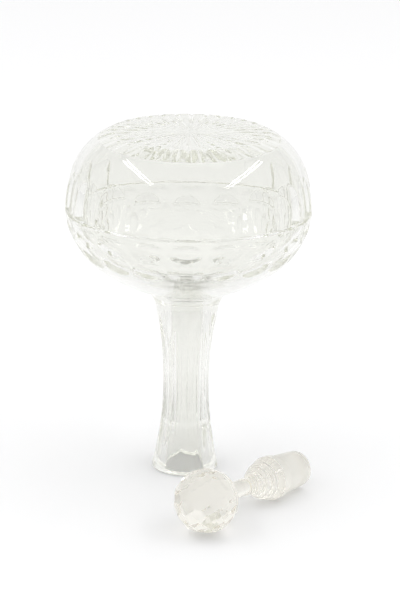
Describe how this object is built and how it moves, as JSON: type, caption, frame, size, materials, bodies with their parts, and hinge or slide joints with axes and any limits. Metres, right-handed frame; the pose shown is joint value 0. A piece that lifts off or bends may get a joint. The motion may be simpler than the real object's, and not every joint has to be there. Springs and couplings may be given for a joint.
{
  "type": "wine decanter",
  "caption": "Cut-glass wine decanter with a wide flattened bowl and a slender panelled neck, standing upside down on its mouth, with a faceted ball stopper lying beside it.",
  "frame": {"origin": "centre of the mouth's rim, on the decanter's axis, in the plane that the decanter stands on", "axes": "+Z along the decanter's axis from the mouth to the star-cut base, which is up as it stands; +X to the right; the stopper lies on the -Y side"},
  "size_m": [0.1696, 0.2206, 0.238],
  "materials": {
    "decanter_glass": "clear cut glass, polished, with a ground socket inside the mouth",
    "stopper_glass": "clear cut glass, polished, with a ground plug"
  },
  "bodies": {
    "decanter": {"decanter": "decanter_glass"},
    "stopper": {"stopper": "stopper_glass"}
  },
  "joints": [
    {"name": "stopper_lift", "type": "slide", "parent": "decanter", "child": "stopper", "axis": [0, 0, 1], "range_m": [0, 0.09]}
  ]
}
